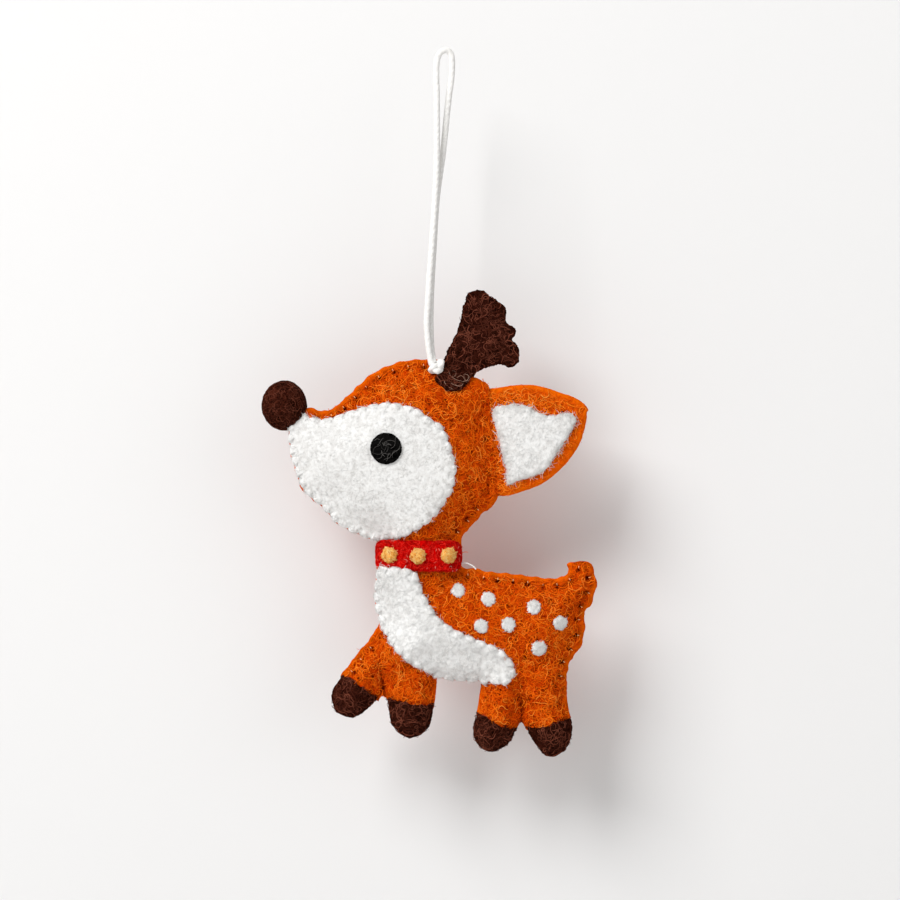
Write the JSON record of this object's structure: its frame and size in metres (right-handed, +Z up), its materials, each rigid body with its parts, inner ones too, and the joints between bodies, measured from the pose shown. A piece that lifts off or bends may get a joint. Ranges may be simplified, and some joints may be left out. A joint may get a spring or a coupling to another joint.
{
  "type": "felt hanging ornament",
  "caption": "Stuffed felt fawn in profile with collar, antler and spotted back, hanging from a white cotton cord loop.",
  "frame": {"origin": "the hanging point, inside the top of the cord loop, where a hook or twig bears", "axes": "+Z up along the hanging loop, the fawn faces -X, its decorated side faces -Y, and the seam lies in the plane y = 0"},
  "size_m": [0.0839, 0.0177, 0.1776],
  "materials": {
    "orange_felt": "nubby matted felt with loose curly fibres",
    "brown_felt": "dark nubby matted felt",
    "white_felt": "smooth white felt with faint grey fibres",
    "red_felt": "matted felt strip",
    "yellow_felt": "small felted dots with stitched fibres",
    "black_felt": "black felt disc",
    "white_cotton": "soft twisted cotton cord",
    "fibre_filling": "loose polyester wadding"
  },
  "bodies": {
    "loop": {"hanging_loop": "white_cotton"},
    "knot": {"loop_knot": "white_cotton"},
    "fawn": {"head_front_felt": "orange_felt", "head_back_felt": "orange_felt", "head_stuffing": "fibre_filling", "body_front_felt": "orange_felt", "body_back_felt": "orange_felt", "body_stuffing": "fibre_filling", "front_leg_1": "orange_felt", "front_leg_2": "orange_felt", "rear_leg_1": "orange_felt", "rear_leg_2": "orange_felt", "front_hoof_1": "brown_felt", "front_hoof_2": "brown_felt", "rear_hoof_1": "brown_felt", "rear_hoof_2": "brown_felt", "ear_front_felt": "orange_felt", "ear_back_felt": "orange_felt", "inner_ear_felt": "white_felt", "antler_front_felt": "brown_felt", "antler_back_felt": "brown_felt", "face_patch": "white_felt", "eye_disc": "black_felt", "nose_ball": "brown_felt", "collar_band": "red_felt", "collar_bead_1": "yellow_felt", "collar_bead_2": "yellow_felt", "collar_bead_3": "yellow_felt", "chest_patch": "white_felt", "spot_1": "white_felt", "spot_2": "white_felt", "spot_3": "white_felt", "spot_4": "white_felt", "spot_5": "white_felt", "spot_6": "white_felt", "spot_7": "white_felt"}
  },
  "joints": [
    {"name": "front_back_tilt", "type": "hinge", "parent": "loop", "child": "knot", "pos_m": [-0.00285, -0.00385, -0.0779], "axis": [1, 0, 0], "range_deg": [-90, 0]},
    {"name": "side_swing", "type": "hinge", "parent": "knot", "child": "fawn", "pos_m": [-0.00285, -0.00385, -0.0779], "axis": [0, 1, 0], "range_deg": [-60, 60]}
  ]
}
